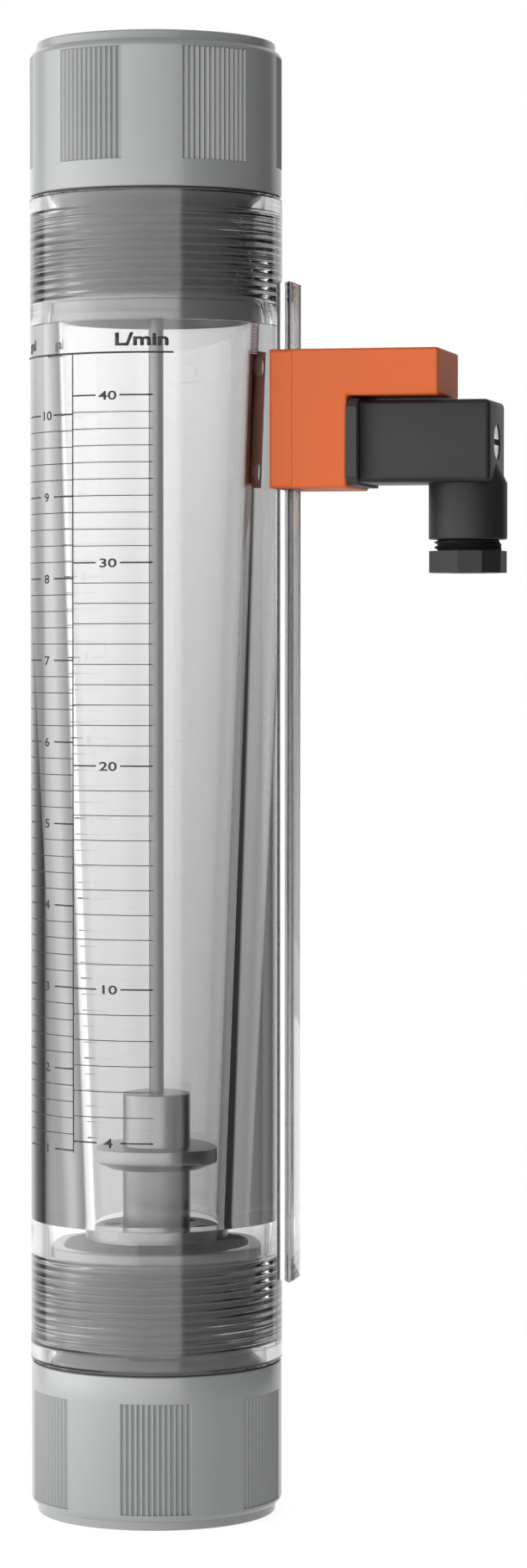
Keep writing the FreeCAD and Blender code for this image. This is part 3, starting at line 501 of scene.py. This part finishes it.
def fitting_piece(name, node, nose_end, centre_angle, turned_over):
    """Head with gripping panels, neck, thread and hollow nose, drawn with the port below."""
    cut = grip_reach(centre_angle)

    def fluted(angle):
        return HEAD_RADIUS - GRIP_DEPTH * cut(angle)

    chamber_floor = nose_end - CHAMBER_DEPTH
    lip = soften([(PORT_RADIUS, 0.0, 0.5), (LIP_RADIUS, 0.0, 0.6), (LIP_RADIUS, LIP_HEIGHT, 0.15),
                  (HEAD_RADIUS - 1.0, LIP_HEIGHT, 0.1), (HEAD_RADIUS, LIP_HEIGHT + 1.0, 0.5),
                  (HEAD_RADIUS, HEAD_HEIGHT, 0.5), (NOSE_RADIUS, HEAD_HEIGHT, 0.1),
                  (NOSE_RADIUS - 0.3, HEAD_HEIGHT + 1.6, 0.5),
                  (NECK_RADIUS, THREAD_START - 1.0, 0.5), (NECK_RADIUS, THREAD_START, 0.1)])
    shoulder = [row for row in lip if row[1] < HEAD_HEIGHT / 2]
    neck = [row for row in lip if row[1] > HEAD_HEIGHT / 2]
    flutes = [(HEAD_RADIUS, GRIP_START + 1.4), (fluted, GRIP_START + 1.5),
              (fluted, GRIP_END - 0.15), (HEAD_RADIUS, GRIP_END)]
    thread = thread_rows(THREAD_CREST, THREAD_ROOT, THREAD_START, THREAD_LENGTH, THREAD_PITCH)
    nose = soften([(THREAD_ROOT, THREAD_START + THREAD_LENGTH, 0.0),
                   (THREAD_ROOT, THREAD_START + THREAD_LENGTH + 0.8, 0.1),
                   (NOSE_RADIUS, THREAD_START + THREAD_LENGTH + 1.2, 0.2),
                   (NOSE_RADIUS, nose_end, 0.5), (CHAMBER_RADIUS, nose_end, 0.4),
                   (CHAMBER_RADIUS, chamber_floor, 0.4), (PASSAGE_RADIUS, chamber_floor, 0.4),
                   (PASSAGE_RADIUS, PORT_DEPTH, 0.4), (PORT_RADIUS, PORT_DEPTH, 0.3)])
    rows = shoulder + flutes + neck + thread + nose
    points, faces = lathe(rows, grip_angles(centre_angle))
    if turned_over:
        points = [(x, -y, OVERALL_HEIGHT - z) for x, y, z in points]
    return make_piece(name, points, faces, "meter", GREY, [node], sharp=28.0)


# Printed scale

def print_point(angle, level, lift=0.0):
    """A point on the tube's skin, by angle from the camera's side and height."""
    turn = math.radians(CAMERA_SIDE + angle)
    reach = TUBE_RADIUS + PRINT_LIFT + lift
    return (reach * math.cos(turn), reach * math.sin(turn), level)


class Print:
    """Collects printed shapes and turns them into one thin piece."""

    def __init__(self):
        self.points = []
        self.faces = []

    def bar(self, start, end, level, width):
        """A level line between two angles."""
        count = max(1, int(abs(end - start) / 1.5))
        base = len(self.points)
        for angle in steps(start, end, count):
            self.points.append(print_point(angle, level - width / 2))
            self.points.append(print_point(angle, level + width / 2))
        for index in range(count):
            corner = base + 2 * index
            self.faces.append((corner, corner + 2, corner + 3, corner + 1))

    def upright(self, angle, bottom, top, width):
        """A line up the tube."""
        half = math.degrees(width / 2 / TUBE_RADIUS)
        base = len(self.points)
        for side, level in ((-half, bottom), (half, bottom), (half, top), (-half, top)):
            self.points.append(print_point(angle + side, level))
        self.faces.append(tuple(range(base, base + 4)))

    def flat(self, corners, faces, angle, level):
        """Any flat drawing in millimetres, laid on the skin round a point."""
        base = len(self.points)
        for across, up in corners:
            self.points.append(print_point(angle + math.degrees(across / TUBE_RADIUS), level + up))
        self.faces += [tuple(base + index for index in face) for face in faces]

    def text(self, words, angle, level, height, widen=1.0, weight=0.0):
        """Centred plain lettering of a given capital height."""
        curve = bpy.data.curves.new("print", "FONT")
        curve.body = words
        curve.align_x = "CENTER"
        curve.resolution_u = 4
        curve.offset = weight
        carrier = linked("print", curve)
        mesh = bpy.data.meshes.new_from_object(carrier)
        top = max(vertex.co.y for vertex in mesh.vertices)
        grow = height / (top - min(0.0, min(vertex.co.y for vertex in mesh.vertices)))
        corners = [(vertex.co.x * grow * widen, vertex.co.y * grow - height / 2)
                   for vertex in mesh.vertices]
        self.flat(corners, [tuple(face.vertices) for face in mesh.polygons], angle, level)
        bpy.data.objects.remove(carrier)
        bpy.data.meshes.remove(mesh)
        bpy.data.curves.remove(curve)

    def piece(self, name):
        """The collected shapes as one piece, with the ink's thickness."""
        piece = make_piece(name, self.points, self.faces, "meter", INK, merge=False)
        solid = piece.modifiers.new("thickness", "SOLIDIFY")
        solid.thickness = PRINT_THICKNESS * MM
        solid.offset = 1.0
        return piece


MAJOR_LINE = 0.36
MINOR_LINE = 0.2
HEADER_LINE = 0.42
NUMBER_HEIGHT = 2.1
SCALE_SPAN = 38.6
BREAK_START = 12.4
NUMBER_PLACE = 18.2
BREAK_END = 23.9
HEADER_LEVEL = 273.8
HEADER_SPAN = 48.0
HEADER_TEXT_PLACE = 33.7
HEADER_TEXT_RISE = 3.2
HEADER_TEXT_HEIGHT = 3.1
# Number, level and parts down to the next number.
LITRE_MARKS = [(40, 264.0, 10), (30, 225.3, 10), (20, 178.2, 9), (10, 126.35, 6), (4, 90.6, 0)]
GALLON_TOP = 259.8
GALLON_STEP = 19.05
GALLON_MARKS = 10
GALLON_PARTS = 5


def scale_line(sheet, side, level, number=None):
    """A plain tick, or a numbered one whose line breaks round its number."""
    def at(span):
        return PRINT_CENTRE + side * span

    if number is None:
        sheet.bar(at(0), at(SCALE_SPAN), level, MINOR_LINE)
        return
    sheet.bar(at(0), at(BREAK_START), level, MAJOR_LINE)
    sheet.bar(at(BREAK_END), at(SCALE_SPAN), level, MAJOR_LINE)
    sheet.text(str(number), at(NUMBER_PLACE), level, NUMBER_HEIGHT, widen=1.6, weight=0.016)


def scale_print():
    """Litres to the right of the upright line, gallons to the left, and a header above both."""
    sheet = Print()
    for (number, level, parts), following in zip(LITRE_MARKS, LITRE_MARKS[1:] + [None]):
        scale_line(sheet, 1, level, number)
        for part in range(1, parts):
            scale_line(sheet, 1, level + (following[1] - level) * part / parts)
    for number in range(GALLON_MARKS, 0, -1):
        level = GALLON_TOP - GALLON_STEP * (GALLON_MARKS - number)
        scale_line(sheet, -1, level, number)
        if number > 1:
            for part in range(1, GALLON_PARTS):
                scale_line(sheet, -1, level - GALLON_STEP * part / GALLON_PARTS)
    lowest = GALLON_TOP - GALLON_STEP * (GALLON_MARKS - 1)
    sheet.upright(PRINT_CENTRE, lowest - 0.5, HEADER_LEVEL, MAJOR_LINE)
    sheet.bar(PRINT_CENTRE - HEADER_SPAN, PRINT_CENTRE + HEADER_SPAN, HEADER_LEVEL, HEADER_LINE)
    for unit, side in (("L/min", 1), ("gal", -1)):
        sheet.text(unit, PRINT_CENTRE + side * HEADER_TEXT_PLACE, HEADER_LEVEL + HEADER_TEXT_RISE,
                   HEADER_TEXT_HEIGHT, widen=1.42, weight=0.035)
    return sheet.piece("scale_print")


# Steel parts

def turned_piece(name, node, profile, body, count=96, material=STEEL,
                 rounding=0.25):
    """A piece turned round the tube's axis."""
    points, faces = lathe(soften(profile, rounding), round_angles(count))
    return make_piece(name, points, faces, body, material, [node])


def rod_piece():
    """Guide rod, thinner at both ends where it passes through its holders."""
    end, full = ROD_END_RADIUS, ROD_RADIUS
    stop_top, stop_base = HOLDER_HIGH.z, STOP_LOW.z
    profile = [(0.01, ROD_LOW.z, 0), (end, ROD_LOW.z), (end, stop_top, 0), (full, stop_top, 0),
               (full, stop_base, 0), (end, stop_base, 0), (end, ROD_HIGH.z), (0.01, ROD_HIGH.z, 0)]
    return turned_piece("guide_rod_steel", "guide_rod", profile, "meter", count=48)


def float_piece():
    """Float: a stem with a flared rim that marks the reading."""
    base, top = FLOAT_LOW.z, FLOAT_HIGH.z
    stem, rim = FLOAT_STEM_RADIUS, FLOAT_RIM_RADIUS
    flare, rim_start, rim_end = [
        base + height for height in (FLOAT_FLARE_HEIGHT, FLOAT_RIM_START, FLOAT_RIM_END)]
    profile = [(FLOAT_BORE_RADIUS, base + 0.02, 0.2), (stem, base, 0.5), (stem, flare, 0.1),
               (FLOAT_FLARE_RADIUS, flare, 0.2), (rim, rim_start, 0.4), (rim, rim_end, 0.35),
               (stem, rim_end, 0.15), (stem, top, 0.5), (FLOAT_BORE_RADIUS, top, 0.3)]
    return turned_piece("float_steel", "float_body", profile, "float", count=144,
                        material=FLOAT_STEEL)


# Switch housing and plug connector

def open_shell(outer, inner, outer_half, inner_half):
    """Walls of a hollow prism across Y. It is open between its outlines' last and first points,
    which are (x, z)."""
    points, faces = [], []
    count = len(outer)
    for outline, half in ((outer, outer_half), (inner, inner_half)):
        start = len(points)
        points += [(x, -half, z) for x, z in outline] + [(x, half, z) for x, z in outline]
        faces.append(tuple(range(start, start + count)))
        faces.append(tuple(range(start + count, start + 2 * count)))
        faces += [(index, index + 1, index + count + 1, index + count)
                  for index in range(start, start + count - 1)]
    shift = 2 * count
    rims = [(0, count - 1), (count - 1, 2 * count - 1), (2 * count - 1, count), (count, 0)]
    faces += [(first, second, second + shift, first + shift) for first, second in rims]
    return points, faces


def round_edges(piece, size, seam_x, seam_size):
    """Round a shell's outer edges, and break those of its open side by a smaller size."""
    mesh = piece.data
    near = 0.01 * MM
    weights = mesh.attributes.new("bevel_weight_edge", "FLOAT", "EDGE")
    reach = max(abs(vertex.co.y) for vertex in mesh.vertices)
    for edge in mesh.edges:
        ends = [mesh.vertices[index].co for index in edge.vertices]
        if all(abs(end.y) > reach - near for end in ends):
            at_seam = all(abs(end.x - seam_x * MM) < near for end in ends)
            weights.data[edge.index].value = seam_size / size if at_seam else 1.0
    rounding = piece.modifiers.new("rounded_edges", "BEVEL")
    rounding.width = size * MM
    rounding.segments = 3
    rounding.limit_method = "WEIGHT"


def cut_away(piece, points, faces, sharp=40.0):
    """Cut a closed form out of a piece, after the piece's own modifiers."""
    mesh = bare_mesh("cutter", points, faces)
    cutter = linked("cutter", mesh)
    cut = piece.modifiers.new("cut", "BOOLEAN")
    cut.operation = "DIFFERENCE"
    cut.solver = "EXACT"
    cut.object = cutter
    bpy.context.view_layer.update()
    finished = bpy.data.meshes.new_from_object(
        piece.evaluated_get(bpy.context.evaluated_depsgraph_get()))
    piece.modifiers.clear()
    piece.data = finished
    smooth(finished, sharp)
    bpy.data.objects.remove(cutter)
    bpy.data.meshes.remove(mesh)


def housing_piece():
    """Hollow angled housing of the switch: a block behind the clamp and an arm above the plug."""
    seam, face = CLAMP_HIGH.x, GASKET_LOW.x
    low, high, tip = HOUSING_LOW.z, HOUSING_HIGH.z, HOUSING_HIGH.x
    arm, wall = high - ARM_HEIGHT, HOUSING_WALL
    outer = [(seam, low), (face, low), (face, arm), (tip, arm), (tip, high), (seam, high)]
    inner = [(seam, low + wall), (face - wall, low + wall), (face - wall, arm + wall),
             (tip - wall, arm + wall), (tip - wall, high - wall), (seam, high - wall)]
    points, faces = open_shell(outer, inner, HOUSING_HIGH.y, HOUSING_HIGH.y - wall)
    piece = make_piece("switch_housing_shell", points, faces, "switch", ORANGE,
                       ["switch_housing"], sharp=40.0)
    round_edges(piece, SWITCH_EDGE_RADIUS, seam, SEAM_EDGE)
    return piece


def bar_along_x(radius, middle_z, near, far, sides=48):
    """A closed round bar along X."""
    ring = [(radius * math.cos(math.radians(angle)), radius * math.sin(math.radians(angle)))
            for angle in round_angles(sides)]
    points = [(x, y, middle_z + z) for x in (near, far) for y, z in ring]
    faces = [tuple(reversed(range(sides))), tuple(range(sides, 2 * sides))]
    faces += [(index, (index + 1) % sides, sides + (index + 1) % sides, sides + index)
              for index in range(sides)]
    return points, faces


def connector_piece():
    """Hollow plug body with rounded edges and a recess for the screw's head."""
    top, base = PLUG_HIGH.z, CONNECTOR_BASE
    near, far = PLUG_LOW.x, PLUG_LOW.x + CONNECTOR_LENGTH
    wall, end_wall = CONNECTOR_WALL, CONNECTOR_END_WALL
    outer = [(near, base), (far, base), (far, top), (near, top)]
    inner = [(near, base + wall), (far - end_wall, base + wall),
             (far - end_wall, top - wall), (near, top - wall)]
    points, faces = open_shell(outer, inner, CONNECTOR_WIDTH / 2, CONNECTOR_WIDTH / 2 - wall)
    body = make_piece("connector_body", points, faces, "switch", BLACK, ["connector_housing"],
                      sharp=40.0)
    round_edges(body, CONNECTOR_EDGE_RADIUS, near, SEAM_EDGE)
    head_radius = (SCREW_HIGH.y - SCREW_LOW.y) / 2
    cut_away(body, *bar_along_x(head_radius + SCREW_GAP, (SCREW_LOW.z + SCREW_HIGH.z) / 2,
                                far - SCREW_HOLE_DEPTH, far + 1.0))
    return body


def gland_piece():
    """The gland's stub below the plug body, with its thread, cone and bore."""
    base, end = CONNECTOR_BASE, PLUG_LOW.z
    ridges = thread_rows(GLAND_CREST, GLAND_ROOT, end, STUB_END - end, GLAND_PITCH)
    rows = [(GLAND_BORE_RADIUS, end), *ridges, (GLAND_ROOT, STUB_END),
            (STUB_RADIUS - STUB_CHAMFER, STUB_END), (STUB_RADIUS, STUB_END + STUB_CHAMFER),
            (STUB_RADIUS, base), (STUB_CONE_RADIUS, base + STUB_CONE_HEIGHT),
            (GLAND_THROAT_RADIUS, base + STUB_CONE_HEIGHT - 1.0),
            (GLAND_THROAT_RADIUS, SEAL_HIGH.z), (GLAND_BORE_RADIUS, SEAL_HIGH.z)]
    points, faces = lathe(rows, round_angles(96), centre=(GLAND_X, 0.0))
    return make_piece("gland_stub", points, faces, "switch", BLACK, ["connector_housing"],
                      sharp=28.0)


# Pieces that keep their CAD shape

def carry_over(node, material, sharp=30.0):
    """Keep a CAD node's own shape and give it a finish."""
    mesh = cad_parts[node].data
    mesh.materials.clear()
    mesh.materials.append(material)
    smooth(mesh, sharp)


CARRIED = {
    "lower_seal": RUBBER, "upper_seal": RUBBER, "lower_rod_holder": STEEL,
    "upper_rod_holder": STEEL, "lower_rod_nut": STEEL, "upper_rod_nut": STEEL,
    "float_end_plug": STEEL, "float_magnet": MAGNET,
    "switch_clamp": ORANGE, "clamp_screws": SCREW_STEEL, "circuit_board": BOARD,
    "reed_switch": CLEAR, "contact_blades": BRASS, "connector_gasket": RUBBER,
    "terminal_insert": BLACK, "connector_screw": SCREW_STEEL,
    "gland_seal": RUBBER, "gland_washer": STEEL, "gland_nut": BLACK,
}


# Stage: floor, surroundings and camera

KEY_LEVEL = 3.1
CEILING_LEVEL = 0.62
# Brightness of the walls by bearing from the camera's side, positive to the right.
ROOM_SIDES = [(-180, 1.2), (-168, 1.45), (-150, 1.4), (-138, 0.8), (-125, 0.35),
              (-120, 0.45), (20, 0.34), (26, 0.3), (60, 0.24), (108, 0.16), (114, 0.05),
              (132, 0.05), (138, 0.95), (150, 1.02), (170, 1.02), (180, 1.2)]
# How much of the walls shows by height in degrees; the rest is ceiling.
ROOM_HEIGHTS = [(-90, 0.0), (-40, 0.0), (-28, 1.0), (28, 1.0), (40, 0.0), (90, 0.0)]
# The key light's brightness by bearing and by height.
KEY_SIDES = [(-180, 0.0), (-123, 0.0), (-118, 0.55), (-100, 1.0), (-80, 1.45), (-45, 1.15),
             (-14, 0.88), (22, 0.8), (26, 0.0), (180, 0.0)]
KEY_HEIGHTS = [(-90, 0.0), (-20, 0.0), (-14, 1.0), (14, 1.0), (20, 0.0), (90, 0.0)]
FLOOR_RADIUS = 290.0
FLOOR_LEVEL = -0.02
FLOOR_SIDES = 96
LAMP_BEARING = -62.0
LAMP_DISTANCE = 0.42
LAMP_HEIGHT = 0.06
LAMP_SIZE = 0.2
LAMP_POWER = 1.6
CAMERA_PLACE = (0.2575, -1.044, 0.206)
CAMERA_AIM = (0.0249, 0.0055, 0.1732)
CAMERA_LENS = 103.8
CAMERA_SENSOR = 36.0


def soft_world(camera_side):
    """A soft studio: a wide key light at the front left, a dim right side and a pale backdrop.
    The camera itself sees white."""
    world = bpy.data.worlds.new("studio")
    bpy.context.scene.world = world
    world.use_nodes = True
    nodes, links = world.node_tree.nodes, world.node_tree.links
    background = nodes["Background"]
    where = nodes.new("ShaderNodeTexCoord")
    split = nodes.new("ShaderNodeSeparateXYZ")
    turn = nodes.new("ShaderNodeVectorRotate")
    turn.rotation_type = "Z_AXIS"
    turn.inputs["Angle"].default_value = -math.radians(camera_side)
    links.new(where.outputs["Generated"], turn.inputs["Vector"])
    links.new(turn.outputs["Vector"], split.inputs["Vector"])
    bearing = nodes.new("ShaderNodeMath")
    bearing.operation = "ARCTAN2"
    links.new(split.outputs["Y"], bearing.inputs[0])
    links.new(split.outputs["X"], bearing.inputs[1])
    share = nodes.new("ShaderNodeMapRange")
    share.inputs["From Min"].default_value = -math.pi
    share.inputs["From Max"].default_value = math.pi
    links.new(bearing.outputs["Value"], share.inputs["Value"])
    sides = ramp_node(nodes, links, share.outputs["Result"], ROOM_SIDES, full_turn)
    key_sides = ramp_node(nodes, links, share.outputs["Result"], KEY_SIDES, full_turn)
    rise = math_node(nodes, links, "ARCSINE", split.outputs["Z"])
    lift = nodes.new("ShaderNodeMapRange")
    lift.inputs["From Min"].default_value = -math.pi / 2
    lift.inputs["From Max"].default_value = math.pi / 2
    links.new(rise, lift.inputs["Value"])
    key_heights = ramp_node(nodes, links, lift.outputs["Result"], KEY_HEIGHTS, half_turn)
    band = ramp_node(nodes, links, lift.outputs["Result"], ROOM_HEIGHTS, half_turn)
    walls = math_node(nodes, links, "SUBTRACT", sides, CEILING_LEVEL)
    room = math_node(nodes, links, "MULTIPLY_ADD", walls, band, CEILING_LEVEL)
    key = math_node(nodes, links, "MULTIPLY", key_sides, key_heights)
    total = math_node(nodes, links, "MULTIPLY_ADD", key, KEY_LEVEL, room)
    links.new(total, background.inputs["Strength"])
    seen = nodes.new("ShaderNodeBackground")
    seen.inputs["Strength"].default_value = 1.0
    seen.inputs["Color"].default_value = (1, 1, 1, 1)
    background.inputs["Color"].default_value = (1, 1, 1, 1)
    path = nodes.new("ShaderNodeLightPath")
    mix = nodes.new("ShaderNodeMixShader")
    links.new(path.outputs["Is Camera Ray"], mix.inputs["Fac"])
    links.new(background.outputs["Background"], mix.inputs[1])
    links.new(seen.outputs["Background"], mix.inputs[2])
    links.new(mix.outputs["Shader"], nodes["World Output"].inputs["Surface"])


def math_node(nodes, links, operation, *sources):
    """A math node fed by sockets or plain numbers."""
    node = nodes.new("ShaderNodeMath")
    node.operation = operation
    for socket, source in zip(node.inputs, sources):
        if isinstance(source, float):
            socket.default_value = source
        else:
            links.new(source, socket)
    return node.outputs["Value"]


def full_turn(angle):
    """A bearing of -180 to 180 degrees as a share of 1."""
    return (angle + 180.0) / 360.0


def half_turn(angle):
    """A height of -90 to 90 degrees as a share of 1."""
    return (angle + 90.0) / 180.0


def ramp_node(nodes, links, source, stops, place):
    """A ramp of grey levels by angle; levels above 1 are allowed."""
    node = nodes.new("ShaderNodeValToRGB")
    elements = node.color_ramp.elements
    elements.remove(elements[-1])
    for index, (angle, level) in enumerate(stops):
        element = elements[0] if index == 0 else elements.new(place(angle))
        element.position = place(angle)
        element.color = (level, level, level, 1.0)
    links.new(source, node.inputs["Fac"])
    return node.outputs["Color"]


def floor_piece():
    """A round pale floor that glows a little, so that it meets the white backdrop."""
    material, nodes, links, shader = new_material("pale_floor")
    set_inputs(shader, Roughness=0.9, Emission_Color=(1.0, 1.0, 1.0), Emission_Strength=0.85)
    speckle = object_noise(nodes, links, 60.0)
    ramp(nodes, links, speckle, (0.24, 0.24, 0.24), (0.27, 0.27, 0.27), shader.inputs["Base Color"])
    points, faces = lathe([(1.0, FLOOR_LEVEL), (FLOOR_RADIUS, FLOOR_LEVEL)],
                          round_angles(FLOOR_SIDES), closed=False)
    points.append((0.0, 0.0, FLOOR_LEVEL))
    faces += [(index, (index + 1) % FLOOR_SIDES, len(points) - 1) for index in range(FLOOR_SIDES)]
    mesh = bare_mesh("floor", points, faces)
    mesh.materials.append(material)
    linked("floor", mesh)


def low_light():
    """A soft lamp low at the front left, which the floor's bounce would otherwise lack."""
    lamp = bpy.data.lights.new("low_lamp", "AREA")
    lamp.shape = "DISK"
    lamp.size = LAMP_SIZE
    lamp.energy = LAMP_POWER
    carrier = linked("low_lamp", lamp)
    turn = math.radians(CAMERA_SIDE + LAMP_BEARING)
    carrier.location = (LAMP_DISTANCE * math.cos(turn), LAMP_DISTANCE * math.sin(turn), LAMP_HEIGHT)
    carrier.rotation_euler = (-carrier.location).to_track_quat("-Z", "Y").to_euler()
    carrier.visible_glossy = False
    carrier.visible_transmission = False
    carrier.visible_camera = False


def make_camera():
    data = bpy.data.cameras.new("camera")
    data.lens = CAMERA_LENS
    data.sensor_width = CAMERA_SENSOR
    data.clip_start, data.clip_end = 0.05, 20.0
    camera = linked("camera", data)
    camera.location = CAMERA_PLACE
    aim = Vector(CAMERA_AIM)
    camera.rotation_euler = (aim - camera.location).to_track_quat("-Z", "Y").to_euler()
    bpy.context.scene.camera = camera


def render_settings():
    scene = bpy.context.scene
    scene.view_settings.view_transform = "Standard"
    scene.cycles.max_bounces = 32
    scene.cycles.transmission_bounces = 28
    scene.cycles.glossy_bounces = 12
    scene.cycles.transparent_max_bounces = 16
    scene.cycles.caustics_refractive = True
    scene.cycles.caustics_reflective = True


make_camera()
render_settings()
soft_world(CAMERA_SIDE)
floor_piece()
low_light()
tube_piece()
fitting_piece("lower_fitting_grey", "lower_fitting", LOWER_HIGH.z, LOWER_GRIP_ANGLE, False)
fitting_piece("upper_fitting_grey", "upper_fitting", OVERALL_HEIGHT - UPPER_LOW.z,
              -UPPER_GRIP_ANGLE, True)
scale_print()
rod_piece()
float_piece()
housing_piece()
connector_piece()
gland_piece()
for carried_node, finish in CARRIED.items():
    carry_over(carried_node, finish)

bpy.context.view_layer.update()
